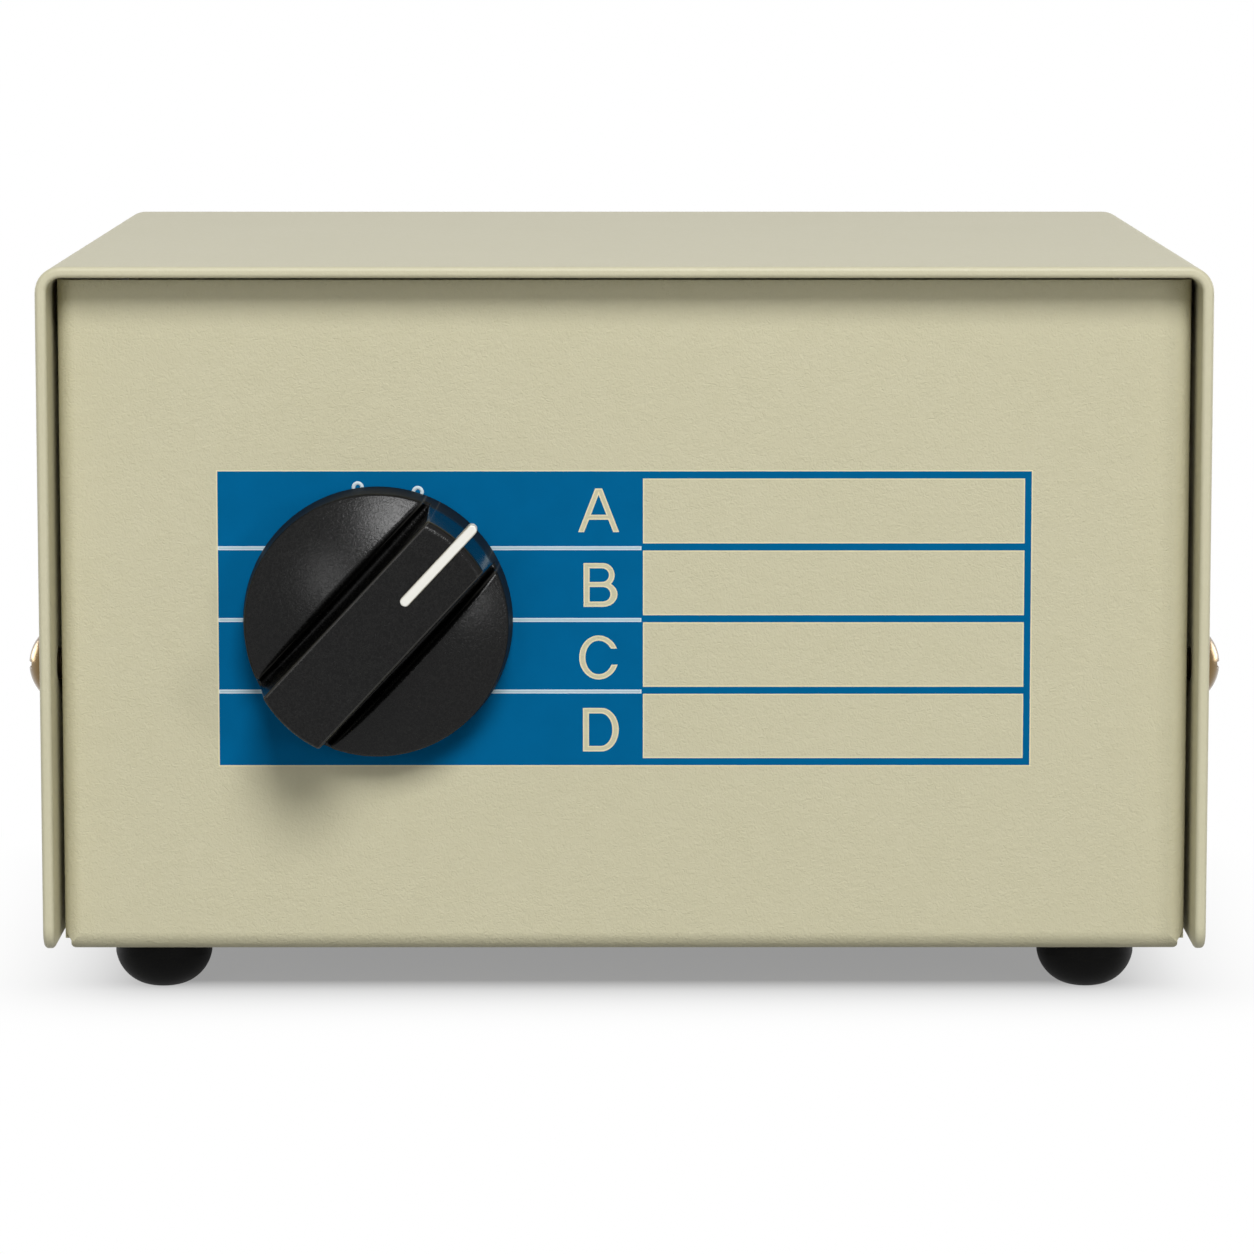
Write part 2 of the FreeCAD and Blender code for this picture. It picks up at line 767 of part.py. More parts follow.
def index_wheel():
    """Star wheel with a stop plate in front of it, pressed on the shaft."""
    star = disc(wheel_tip_radius, star_back, star_front)
    notch_centre = wheel_tip_radius - notch_depth + notch_radius
    notch = disc(notch_radius, star_back - 1, star_front + 1, notch_centre)
    first = pointer_angle  # so that a notch faces each roller at rest
    star = star.cut(Part.makeCompound([turned(notch, first + i * index_pitch) for i in range(index_stops)]))
    plate = disc(stop_plate_radius, star_front, wheel_front)
    arm = turned(sector(stop_arm_reach, stop_arm_half_angle, star_front, wheel_front), 180)
    hub = fuse_all([star, plate, arm])
    return hub.cut(disc(shaft_radius + seat_gap, star_back - 1, wheel_front + 1))


def sector(reach, half_angle, low, high):
    """Slice of a disc about the X direction."""
    angle = math.radians(half_angle)
    corner = Vector(reach * math.cos(angle), reach * math.sin(angle), low)
    other = Vector(corner.x, -corner.y, low)
    outline = Part.Wire(
        [
            Part.LineSegment(Vector(0, 0, low), other).toShape(),
            Part.Arc(other, Vector(reach, 0, low), corner).toShape(),
            Part.LineSegment(corner, Vector(0, 0, low)).toShape(),
        ]
    )
    return Part.Face(outline).extrude(Vector(0, 0, high - low))


# Fixed frame of the switch, in the selector's frame


def eared_plate(radius, low, high):
    """Disc with two ears for the tie rods."""
    ears = [disc(frame_ear_radius, low, high, 0, side * frame_ear) for side in (-1, 1)]
    web = block(-frame_ear_radius, frame_ear_radius, -frame_ear, frame_ear, low, high)
    return fuse_all([disc(radius, low, high), web] + ears)


def tie_rod_holes(radius, low, high):
    return Part.makeCompound([disc(radius, low, high, 0, side * frame_ear) for side in (-1, 1)])


def index_plate():
    """Plate with the stop tabs, the spring posts and the lug that keeps the switch from turning."""
    plate = eared_plate(index_plate_radius, index_plate_back, -tray_sheet)
    lug = disc(lug_radius, -tray_sheet, -lug_inset, -lug_offset)
    arm_rest = 180 - pointer_angle
    reach_angle = stop_arm_half_angle + stop_tab_half_angle + stop_gap_angle
    tab = sector(stop_tab_outer, stop_tab_half_angle, star_front, index_plate_back)
    tab = tab.cut(disc(stop_tab_inner, star_front - 1, index_plate_back + 1))
    tabs = [turned(tab, arm_rest - reach_angle), turned(tab, arm_rest + selector_travel + reach_angle)]
    posts = [
        disc(post_radius, star_back, index_plate_back, sx * post_offset, sy * spring_half_span)
        for sx in (-1, 1)
        for sy in (-1, 1)
    ]
    shape = fuse_all([plate, lug] + tabs + posts)
    shape = shape.cut(tie_rod_holes(tie_rod_radius + seat_gap, index_plate_back - 1, 0))
    return shape.cut(disc(bushing_seat_radius + seat_gap, index_plate_back - 1, 0))


def switch_bushing():
    """Threaded bearing of the shaft, staked into the index plate."""
    shoulder = index_plate_back - bushing_shoulder_thickness
    body = lathe(
        [
            (0, shoulder),
            (bushing_shoulder_radius, shoulder),
            (bushing_shoulder_radius, index_plate_back),
            (bushing_seat_radius, index_plate_back),
            (bushing_seat_radius, -tray_sheet),
            (thread_radius, -tray_sheet),
            (thread_radius, thread_top - thread_chamfer),
            (thread_radius - thread_chamfer, thread_top),
            (0, thread_top),
        ]
    )
    return body.cut(disc(shaft_radius + running_gap, shoulder - 1, thread_top + 1))


def toothed_washer(inner, outer, low, high):
    """Lock washer with teeth cut around its rim."""
    washer = ring(outer, inner, low, high)
    half = washer_notch_width / 2
    notch = block(outer - washer_notch_depth, outer + 1, -half, half, low - 1, high + 1)
    step = 360.0 / washer_teeth
    return washer.cut(Part.makeCompound([turned(notch, i * step) for i in range(washer_teeth)]))


def chamfered_nut(flats, bore, low, high):
    """Hexagon nut with its corners turned down on the free side."""
    corner = flats / 2 / math.cos(math.radians(30)) + 0.01
    drop = (corner - flats / 2) * nut_turn_down
    cone = lathe([(0, low), (corner, low), (corner, high - drop), (flats / 2, high), (0, high)])
    return hexagon(flats, low, high).common(cone).cut(disc(bore, low - 1, high + 1))


def panel_washer():
    return toothed_washer(thread_radius + running_gap, panel_washer_radius, 0, panel_washer_thickness)


def panel_nut():
    low = panel_washer_thickness
    return chamfered_nut(panel_nut_flats, thread_radius + seat_gap, low, low + panel_nut_thickness)


def index_rollers():
    low, high = star_back + roller_end_gap, star_front - roller_end_gap
    roller = disc(roller_radius, low, high, roller_offset)
    return Part.makeCompound([roller, turned(roller, 180)])


def index_springs():
    """Two leaf springs, hooked round their posts, that press the rollers on the star wheel."""
    low, high = star_back + spring_edge_gap, star_front - spring_edge_gap
    outer = spring_inner + spring_sheet
    hook_inner = post_radius + seat_gap
    hook_outer = hook_inner + spring_sheet
    leaf = block(spring_inner, outer, -spring_half_span, spring_half_span, low, high)
    pieces = [leaf]
    for side in (-1, 1):
        y = side * spring_half_span
        hook = ring(hook_outer, hook_inner, low, high, post_offset, y)
        keep = sorted((y, y + side * (hook_outer + 1)))
        pieces.append(hook.common(block(spring_inner, post_offset + hook_outer + 1, *keep, low, high)))
    spring = fuse_all(pieces)
    return Part.makeCompound([spring, turned(spring, 180)])


def tie_rods():
    """Hexagon-head screws that hold the wafer and its spacers on the index plate."""
    length = disc(tie_rod_radius, wafer_back, -tray_sheet - tie_rod_end_gap, 0, frame_ear)
    head = hexagon(tie_head_flats, wafer_back - tie_head_height, wafer_back)
    head.translate(Vector(0, frame_ear, 0))
    screw = length.fuse(head)
    return Part.makeCompound([screw, turned(screw, 180)])


def tie_spacers():
    tube = ring(spacer_radius, tie_rod_radius + running_gap, wafer_front, index_plate_back, 0, frame_ear)
    return Part.makeCompound([tube, turned(tube, 180)])


def clip_angles():
    return dict(contact_name_angles, common=common_angle)


def wafer_stator():
    shape = eared_plate(wafer_radius, wafer_back, wafer_front)
    shape = shape.cut(disc(wafer_opening_radius, wafer_back - 1, wafer_front + 1))
    shape = shape.cut(tie_rod_holes(tie_rod_radius + running_gap, wafer_back - 1, wafer_front + 1))
    rivet = disc(clip_rivet_radius + seat_gap, wafer_back - 1, wafer_front + 1, clip_rivet_offset)
    return shape.cut(Part.makeCompound([turned(rivet, angle) for angle in clip_angles().values()]))


def rotor_contact():
    """Ring with one tongue, moulded into the rotor."""
    low, high = wafer_middle - contact_thickness / 2, wafer_middle + contact_thickness / 2
    start, half = contact_ring_outer - tongue_lap, tongue_width / 2
    tongue = block(start, tongue_reach, -half, half, low, high)
    return fuse_all([ring(contact_ring_outer, contact_ring_inner, low, high), tongue])


def wafer_rotor():
    low, high = wafer_middle - rotor_thickness / 2, wafer_middle + rotor_thickness / 2
    half, width = blade_thickness / 2 + running_gap, blade_width / 2 + running_gap
    rotor = disc(rotor_radius, low, high).cut(block(-half, half, -width, width, low - 1, high + 1))
    return rotor.cut(rotor_contact())


def strip(points, thickness, width):
    """Bent strip that follows (radius, height) points, centred on Y."""
    half = thickness / 2
    left, right = [], []
    for i, (r, h) in enumerate(points):
        before = points[max(i - 1, 0)]
        after = points[min(i + 1, len(points) - 1)]
        along = Vector(after[0] - before[0], after[1] - before[1], 0).normalize()
        left.append((r - along.y * half, -width / 2, h + along.x * half))
        right.append((r + along.y * half, -width / 2, h - along.x * half))
    return sharp_face(left + right[::-1]).extrude(Vector(0, width, 0))


def contact_clip(jaw):
    """Riveted spring clip whose two leaves close on the rotor's contact, with a solder tail."""
    flat = wafer_thickness / 2 + clip_sheet / 2
    closed = contact_thickness / 2 + running_gap + clip_sheet / 2
    leaf_points = [
        (clip_heel, flat),
        (jaw + clip_jaw_slope, flat),
        (jaw, closed),
        (jaw - clip_lip, closed + clip_lip_rise),
    ]
    front = strip([(r, wafer_middle + h) for r, h in leaf_points], clip_sheet, clip_width)
    back = strip([(r, wafer_middle - h) for r, h in leaf_points], clip_sheet, clip_width)
    tail_back = wafer_back - clip_sheet
    tail = block(clip_heel - tail_lap, tail_reach, -tail_width / 2, tail_width / 2, tail_back, wafer_back)
    leaf_front = wafer_front + clip_sheet
    rivet = disc(clip_rivet_radius, tail_back, leaf_front, clip_rivet_offset)
    heads = [
        disc(clip_rivet_head_radius, low, low + clip_rivet_head_height, clip_rivet_offset)
        for low in (leaf_front, tail_back - clip_rivet_head_height)
    ]
    return fuse_all([front, back, tail, rivet] + heads)


# Sockets, in a socket's frame


def socket_shell():
    """Bayonet barrel, flange and threaded tail, turned from one bar."""
    tip = socket_reach
    edge = barrel_edge
    body = lathe(
        [
            (0, -socket_tail_length),
            (socket_tail_radius, -socket_tail_length),
            (socket_tail_radius, -socket_thread_length),
            (socket_thread_radius - edge, -socket_thread_length),
            (socket_thread_radius, -socket_thread_length + edge),
            (socket_thread_radius, 0),
            (socket_flange_radius, 0),
            (socket_flange_radius, socket_flange_thickness - edge),
            (socket_flange_radius - edge, socket_flange_thickness),
            (barrel_waist_radius, socket_flange_thickness),
            (barrel_waist_radius, tip - barrel_tip_length),
            (barrel_radius, tip - barrel_tip_length),
            (barrel_radius, tip - edge),
            (barrel_radius - edge, tip),
            (0, tip),
        ]
    )
    lug_height = tip - lug_pin_setback
    lugs = rod(lug_pin_radius, (0, -lug_pin_reach, lug_height), (0, lug_pin_reach, lug_height))
    shape = body.fuse(lugs).removeSplitter()
    shape = shape.cut(disc(barrel_bore_radius, tip - barrel_bore_depth, tip + 1))
    shape = shape.cut(disc(insulator_radius + seat_gap, -socket_tail_length - 1, tip))
    wide = socket_thread_radius + 1
    flat = block(socket_thread_flat, wide, -wide, wide, -socket_thread_length - 1, 0)
    return shape.cut(flat)


def socket_insulator():
    return ring(insulator_radius, contact_radius + seat_gap, -socket_tail_length, insulator_face)


def socket_contact():
    """Slotted receptacle at the front and a solder pot at the back."""
    back = -socket_tail_length - solder_pot_length
    pin = disc(contact_radius, back, contact_face)
    pin = pin.cut(disc(contact_bore_radius, contact_face - contact_bore_depth, contact_face + 1))
    pin = pin.cut(disc(solder_pot_bore, back - 1, back + solder_pot_depth))
    wide, half = contact_radius + 1, contact_slot_width / 2
    bottom = contact_face - contact_bore_depth + contact_slot_setback
    slot = block(-wide, wide, -half, half, bottom, contact_face + 1)
    return pin.cut(slot)


def ground_lug():
    """Solder tag under the nut, with its tail up."""
    high = -tray_sheet
    low = high - ground_lug_thickness
    tail = block(0, ground_lug_reach, -ground_lug_width / 2, ground_lug_width / 2, low, high)
    end = disc(ground_lug_width / 2, low, high, ground_lug_reach)
    eye = disc(ground_lug_hole, low - 1, high + 1, ground_lug_reach)
    tag = fuse_all([disc(ground_lug_radius, low, high), tail, end])
    return tag.cut(disc(socket_thread_radius + running_gap, low - 1, high + 1)).cut(eye)


def socket_washer():
    high = -tray_sheet - ground_lug_thickness
    bore = socket_thread_radius + running_gap
    return toothed_washer(bore, socket_washer_radius, high - socket_washer_thickness, high)


def socket_nut():
    """Nut on the inside of the panel, its turned-down side away from the washer."""
    start = tray_sheet + ground_lug_thickness + socket_washer_thickness
    bore = socket_thread_radius + seat_gap
    nut = chamfered_nut(socket_nut_flats, bore, start, start + socket_nut_thickness)
    return nut.mirror(Vector(0, 0, 0), Vector(0, 0, 1))


# Leads


def coax_lead(name):
    """Coaxial lead from a clip's tail to the solder pot of its socket, with the drain wire to the lug."""
    angle = math.radians(clip_angles()[name])
    tail_back = wafer_back - clip_sheet
    start = front_point(lead_landing * math.cos(angle), lead_landing * math.sin(angle), tail_back)
    across, up = socket_places[name]
    pot_floor = panel_y - socket_tail_length - solder_pot_length + solder_pot_depth
    end = Vector(across, pot_floor, up)
    along = Vector(0, 1, 0)
    bends = [start + along * lead_straight, end - along * lead_straight]
    turn = max((bends[1] - bends[0]).getAngle(along), 1e-6)
    radius = min(lead_bend_share * lead_straight / math.tan(turn / 2), lead_bend_limit)

    def tube(bare, section_radius):
        points = [start + along * bare, bends[0], bends[1], end - along * bare]
        path = rounded_path([tuple(p) for p in points], [0, radius, radius, 0])
        section = Part.Wire(Part.makeCircle(section_radius, points[0], along))
        solid = path.makePipeShell([section], True, False)
        print(f"lead {name}: bend {radius:.1f}, length {path.Length:.1f}, "
              f"volume ratio {solid.Volume / (math.pi * section_radius**2 * path.Length):.4f}")
        return solid

    jacket = tube(bare_core, lead_radius)
    core = tube(0.0, core_radius)
    drain_start = end - along * (bare_core + drain_lap) + Vector(0, 0, lead_radius - drain_radius)
    lug_face = panel_y - tray_sheet - ground_lug_thickness
    drain_end = Vector(across, lug_face - drain_radius - drain_gap, up + ground_lug_reach - ground_lug_hole)
    drain = rod(drain_radius, tuple(drain_start), tuple(drain_end))
    return fuse_all([jacket, core, drain])


def socket_group(shape):
    return Part.makeCompound([rear_frame(shape, place) for place in socket_places.values()])


def save(name, shape):
    """Writes a piece, moved from the middle of the case to the middle of the whole."""
    placed = shape.copy()
    placed.translate(Vector(0, -whole_middle, 0))
    placed.exportStep(os.path.join("parts", name + ".step"))


def selector_pieces():
    """Pieces that turn with the knob, in the selector's frame with the pointer along X."""
    return {
        "knob_body": knob_body(),
        "knob_pointer": knob_pointer(),
        "knob_bush": knob_bush(),
        "knob_set_screw": knob_set_screw(),
        "switch_shaft": switch_shaft(),
        "drive_blade": drive_blade(),
        "index_wheel": index_wheel(),
        "wafer_rotor": wafer_rotor(),
        "rotor_contact": rotor_contact(),
    }


def switch_frame_pieces():
    pieces = {
        "index_plate": index_plate(),
        "switch_bushing": switch_bushing(),
        "panel_washer": panel_washer(),
        "panel_nut": panel_nut(),
        "index_rollers": index_rollers(),
        "index_springs": index_springs(),
        "tie_rods": tie_rods(),
        "tie_spacers": tie_spacers(),
        "wafer_stator": wafer_stator(),
    }
    for name, angle in clip_angles().items():
        jaw = common_clip_jaw if name == "common" else clip_jaw
        pieces["clip_" + name] = turned(contact_clip(jaw), angle)
    return pieces


def main():
    os.makedirs("parts", exist_ok=True)
    save("cover", cover())
    save("tray", tray())
    save("cover_screws", cover_screws())
    for name, (x, y) in foot_points().items():
        save("foot_" + name, foot(x, y))
    for name, shape in selector_pieces().items():
        save(name, front_frame(turned(shape, -pointer_angle)))
    for name, shape in switch_frame_pieces().items():
        save(name, front_frame(shape))
    shell, insulator, contact = socket_shell(), socket_insulator(), socket_contact()
    for name, place in socket_places.items():
        save(f"socket_{name}_shell", rear_frame(shell, place))
        save(f"socket_{name}_insulator", rear_frame(insulator, place))
        save(f"socket_{name}_contact", rear_frame(contact, place))
        save(f"coax_lead_{name}", coax_lead(name))
    save("ground_lugs", socket_group(ground_lug()))
    save("socket_washers", socket_group(socket_washer()))
    save("socket_nuts", socket_group(socket_nut()))


main()
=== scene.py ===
"""Dresses the four-way coaxial switch box: textured enamel, printed label, plastic, rubber and plate."""

import json
import math

import bmesh
import bpy
from mathutils import Matrix, Vector


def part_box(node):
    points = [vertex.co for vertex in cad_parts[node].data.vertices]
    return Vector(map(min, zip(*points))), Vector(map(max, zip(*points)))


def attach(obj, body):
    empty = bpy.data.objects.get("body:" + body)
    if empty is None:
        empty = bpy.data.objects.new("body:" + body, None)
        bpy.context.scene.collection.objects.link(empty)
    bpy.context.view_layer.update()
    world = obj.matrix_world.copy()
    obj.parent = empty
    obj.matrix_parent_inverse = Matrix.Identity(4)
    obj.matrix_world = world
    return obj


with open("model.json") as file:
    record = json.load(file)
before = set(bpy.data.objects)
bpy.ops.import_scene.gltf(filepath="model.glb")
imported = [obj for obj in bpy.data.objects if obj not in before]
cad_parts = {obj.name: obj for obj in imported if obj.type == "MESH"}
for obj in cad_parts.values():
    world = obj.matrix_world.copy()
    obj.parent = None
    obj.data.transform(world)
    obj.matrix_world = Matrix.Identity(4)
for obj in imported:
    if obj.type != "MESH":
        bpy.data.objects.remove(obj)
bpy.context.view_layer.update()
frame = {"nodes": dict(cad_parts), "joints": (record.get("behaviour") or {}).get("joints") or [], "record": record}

MM = 0.001  # sizes below are in millimetres where their heading says so, and everything else is in metres

# Printed label, in millimetres: across from the middle of the panel, up from the underside of the tray
LABEL_LEFT = -53.77
LABEL_RIGHT = 53.8
LABEL_LOW = 25.0
LABEL_HIGH = 64.22
CELLS_LEFT = 2.45
ROWS = 4
SIDE_LINE = 0.88  # blue line beside the cells
ROW_LINE = 0.94  # blue lines over and under them
RULE = 0.52  # pale rules across the blue block
RULE_DROP = 0.16  # the rules lie this far under the blue lines
RULE_END = 0.2  # blue left between a rule and the cells
HALO = 0.17  # cream underprint that shows round the blue
EDGE = 0.14  # pale edge of the rules
INK = 0.012  # thickness of one layer of ink
INK_SINK = 0.01  # how far the ink starts under the paint's face
LETTER_PLACES = {"A": (-6.12, 56.16), "B": (-5.41, 46.2), "C": (-6.0, 36.49), "D": (-5.51, 26.84)}

# Index marks, small rings round the shaft, in millimetres and degrees
MARKS = 2  # before the pointer's rest place
MARK_PITCH = 360.0 / 14
MARK_REACH = 17.85  # from the shaft to the middle of a mark
MARK_RADIUS = 0.8
MARK_HOLE = 0.34
MARK_STEPS = 24  # sides of a ring

# Knob, pointer and side screws, in millimetres; a pair is where a finish starts and where it is full
REST_ANGLE = 43.0  # of the pointer, in degrees clockwise from upright
GRIP_HIGHLIGHT_LINES = ((4.72, 0.12), (6.6, 0.2))  # painted highlight lines along the grip's edges and crests: from its middle, and half their width
GRAIN_FACING = (0.76, 0.86)  # the knob's grain, by how squarely a face looks forwards
SKIRT_REACH = (17.25, 17.4)  # the knob's dull skirt, from the shaft
POINTER_EDGE_SHADE = (0.44, 0.66)  # painted shade on the pointer's rounded edges, from its middle line
SHANK_DEPTH = (0.5, 1.5)  # a screw's dull thread, painted dark as shade, inside the cover's side
THREAD_PITCH = 0.7

# Camera, in millimetres from the middle of the cover's front edge at the tray's underside, and in degrees
LENS = 160.97
SENSOR = 36.0
CAMERA_ACROSS = -0.354
CAMERA_AHEAD = 730.87
CAMERA_UP = 138.16
CAMERA_PITCH = 7.32
CAMERA_YAW = 0.054  # to the right
CAMERA_END = 20.0  # farthest that it sees, in metres

# Lamps, in metres and watts: place, width and height, and power
LAMP_TARGET = (0.0, -0.06, 0.05)
LAMPS = {
    "key": ((0.22, -1.62, 1.36), (0.8, 0.8), 34.0),
    "left_fill": ((-0.5, -1.2, 0.35), (0.35, 0.4), 1.9),
    "right_fill": ((0.86, -1.15, 0.14), (0.25, 0.35), 2.1),
    "top_fill": ((0.0, 0.35, 1.3), (0.8, 0.6), 0.9),
    "rear_left_fill": ((-1.2, 0.95, 0.12), (0.6, 0.6), 7.0),
    "rear_right_fill": ((1.2, 0.95, 0.12), (0.6, 0.6), 7.0),
}

# Room: its plain light; the camera and reflections see white all round
ROOM_LIGHT = 0.14
WHITE = (1.0, 1.0, 1.0, 1.0)
DIRECT_RAYS = ("Is Camera Ray", "Is Glossy Ray", "Is Transmission Ray")

# Floor, in metres from the middle: where the shade under the box ends, and how soon all is plain white
FLOOR_SIZE = 6.0
SHADE_ACROSS = 0.062
SHADE_AHEAD = 0.045
SHADE_FADE = 0.05
SHADE_CURVE = 4.0  # power that the fade follows
SHADE_WHITE = 0.3  # share of plain white under the box

# Colours, as they are meant to be seen (sRGB), each with the one that clouds or wears it, or with a painted
# highlight or shade where marked
FLOOR_GREY = (150, 150, 150)
ENAMEL = ((205, 200, 172), (195, 190, 159))
HALO_CREAM = ((230, 220, 182), (224, 214, 176))
BLUE = ((2, 99, 150), (2, 92, 139))
PALE = ((176, 198, 207), (168, 190, 200))
PALE_EDGE = ((212, 226, 232), (202, 217, 224))
KNOB_BLACK = ((6, 6, 6), (26, 26, 25))
# the knob's painted highlight lines along its grip edges and crests
KNOB_EDGE_HIGHLIGHT = (62, 61, 58)
# second colour: the pointer's painted edge shade
POINTER_WHITE = ((236, 235, 227), (168, 162, 144))
FOOT_BLACK = ((8, 8, 8), (20, 20, 19))
SCREW_PLATE = ((134, 110, 70), (106, 84, 52))
# painted shade of the screw thread where it crosses the gap
SCREW_THREAD_SHADE = (46, 38, 26)

# Finishes by the record's slots. Metals: name, colours and roughness
METALS = {
    "brass": ("turned_brass", ((205, 170, 105), (190, 152, 90)), 0.25),
    "black_steel": ("black_oxide", ((60, 60, 62), (44, 44, 46)), 0.4),
    "steel": ("ground_steel", ((190, 190, 188), (170, 170, 168)), 0.3),
    "zinc_plate": ("zinc", ((196, 198, 200), (176, 180, 184)), 0.34),
    "nickel": ("bright_nickel", ((206, 203, 196), (192, 188, 180)), 0.2),
    "spring_steel": ("spring_strip", ((160, 158, 154), (140, 138, 134)), 0.3),
    "silver": ("silver_plate", ((222, 218, 210), (200, 194, 184)), 0.26),
    "gold": ("gold_plate", ((224, 186, 110), (210, 170, 92)), 0.2),
}
# Plastics: name, colours, and the grain's size and depth in millimetres
PLASTICS = {
    "wafer_board": ("paper_laminate", ((122, 84, 48), (104, 68, 38)), 0.5, 0.03),
    "rotor_plastic": ("moulded_resin", ((184, 172, 140), (170, 156, 122)), 0.5, 0.03),
    "insulator": ("fluoropolymer", ((234, 234, 228), (226, 225, 218)), 0.6, 0.008),
    "lead_jacket": ("lead_sleeve", ((28, 28, 28), (40, 40, 40)), 0.6, 0.03),
}


def linear(color):
    """A colour of 0 to 255 per channel as linear light, with alpha."""
    shares = [c / 255 for c in color]
    return tuple(s / 12.92 if s <= 0.04045 else ((s + 0.055) / 1.055) ** 2.4 for s in shares) + (1.0,)


# Shader maths

MIX_FACTOR, MIX_A, MIX_B, MIX_RESULT = 0, 6, 7, 2  # colour sockets of a Mix node


class Value:
    """A socket that takes part in arithmetic: each operator adds its Math node."""

    def __init__(self, shading, socket):
        self.shading = shading
        self.socket = socket

    def __add__(self, other):
        return self.shading.math("ADD", self, other)

    def __sub__(self, other):
        return self.shading.math("SUBTRACT", self, other)

    def __rsub__(self, other):
        return self.shading.math("SUBTRACT", other, self)

    def __mul__(self, other):
        return self.shading.math("MULTIPLY", self, other)

    def __pow__(self, power):
        return self.shading.math("POWER", self, power)

    def __abs__(self):
        return self.shading.math("ABSOLUTE", self)

    __radd__ = __add__
    __rmul__ = __mul__


class Shading:
    """A shader tree that is built node by node."""

    def __init__(self, tree):
        self.tree = tree

    def put(self, socket, value):
        """Links a Value to the socket, or sets what the socket holds."""
        if isinstance(value, Value):
            self.tree.links.new(value.socket, socket)
        else:
            socket.default_value = value

    def add(self, kind, inputs=None, output=0, **settings):
        """One node: its settings come first, then what its sockets hold or are linked to."""
        node = self.tree.nodes.new("ShaderNode" + kind)
        for name, value in settings.items():
            setattr(node, name, value)
        for name, value in (inputs or {}).items():
            self.put(node.inputs[name], value)
        return Value(self, node.outputs[output])

    def math(self, operation, *operands):
        return self.add("Math", dict(enumerate(operands)), operation=operation)

    def seen_directly(self):
        """1 for what the camera, metal and glass show, and 0 for the light that falls on things."""
        camera, glossy, transmission = [self.add("LightPath", output=rays) for rays in DIRECT_RAYS]
        return self.add("Math", {0: camera + glossy, 1: transmission}, operation="ADD", use_clamp=True)


class Finish(Shading):
    """A material under construction round one Principled shader."""

    def __init__(self, name, color, roughness, metallic=0.0, specular=0.5):
        self.material = bpy.data.materials.new(name)
        self.material.use_nodes = True
        super().__init__(self.material.node_tree)
        self.shader = self.tree.nodes["Principled BSDF"]
        self.set("Base Color", linear(color))
        self.set("Roughness", roughness)
        self.set("Metallic", metallic)
        self.set("Specular IOR Level", specular)
        self.place = self.add("TexCoord", output="Object")

    def set(self, socket, value):
        self.put(self.shader.inputs[socket], value)

    def noise(self, size, detail=2, distortion=0.0, stretch=None):
        """Noise whose lumps are about size millimetres across, packed closer where stretch is over 1."""
        place = self.place
        if stretch:
            place = self.add("Mapping", {"Vector": self.place, "Scale": stretch})
        inputs = {"Vector": place, "Scale": 1 / (size * MM), "Detail": detail, "Distortion": distortion}
        return self.add("TexNoise", inputs)

    def vector(self, operation, *operands, output="Vector"):
        return self.add("VectorMath", dict(enumerate(operands)), output, operation=operation)

    def rise(self, value, start, full):
        """0 up to start, 1 from full on, and in proportion between them."""
        return self.add("MapRange", {0: value, 1: start, 2: full})

    def blend(self, factor, color_a, color_b):
        """From one colour to the other; each is 0 to 255 per channel, or already a Value."""
        color_a, color_b = [c if isinstance(c, Value) else linear(c) for c in (color_a, color_b)]
        inputs = {MIX_FACTOR: factor, MIX_A: color_a, MIX_B: color_b}
        return self.add("Mix", inputs, MIX_RESULT, data_type="RGBA")

    def bump(self, height, depth):
        """Height in 0 to 1, depth in millimetres."""
        self.set("Normal", self.add("Bump", {"Height": height, "Distance": depth * MM}))


# Finishes


def textured_enamel(name, colors, depth, roughness=0.46, specular=0.5):
    """Baked enamel with a fine wrinkle and faint mottling."""
    finish = Finish(name, colors[0], roughness, specular=specular)
    wrinkle = finish.noise(size=0.5, distortion=1.2)
    drift = finish.noise(size=2.4, distortion=0.4)
    cloud = finish.noise(size=26, detail=1)
    finish.set("Base Color", finish.blend(drift * 0.35 + cloud * 0.3 + wrinkle * 0.35, *colors))
    finish.set("Roughness", roughness - 0.06 + wrinkle * 0.12)
    finish.bump(wrinkle * 0.7 + drift * 0.3, depth)
    return finish.material


def ink(name, colors):
    """Matt screen ink that follows the texture of the enamel under it."""
    finish = Finish(name, colors[0], 0.5, specular=0.01)
    wrinkle = finish.noise(size=0.55, detail=3, distortion=0.8)
    drift = finish.noise(size=4.0)
    finish.set("Base Color", finish.blend(drift, *colors))
    finish.set("Roughness", 0.45 + wrinkle * 0.12)
    finish.bump(wrinkle, depth=0.012)
    return finish.material


def grained_plastic(name, colors, grain, depth):
    """Moulded plastic with a fine grain and faint clouding."""
    finish = Finish(name, colors[0], 0.4)
    leather = finish.noise(size=grain, distortion=1.4)
    coarse = finish.noise(size=grain * 9)
    finish.set("Base Color", finish.blend(coarse * leather, *colors))
    finish.set("Roughness", 0.32 + coarse * 0.16)
    finish.bump(leather, depth)
    return finish.material


def from_grip_line(finish):
    """Place from the shaft, and distance from the line that the grip and the pointer follow, in metres."""
    turn = math.radians(REST_ANGLE)
    sideways = Vector((-math.cos(turn), 0.0, math.sin(turn)))
    arm = finish.vector("SUBTRACT", finish.place, Vector(frame["joints"][0]["pos_m"]))
    return arm, abs(finish.vector("DOT_PRODUCT", arm, sideways, output="Value"))


def pointer_insert(name, colors):
    """White insert, with painted shade along its rounded edges where it meets the knob."""
    finish = Finish(name, colors[0], 0.34)
    off_line = from_grip_line(finish)[1]
    cloud = finish.noise(size=1.2)
    edge = finish.rise(off_line, *[limit * MM for limit in POINTER_EDGE_SHADE])
    # painted shade: darker towards the insert's rounded edges
    finish.set("Base Color", finish.blend(edge * (cloud * 0.8 + 0.5), *colors))
    finish.set("Roughness", 0.28 + cloud * 0.14)
    return finish.material


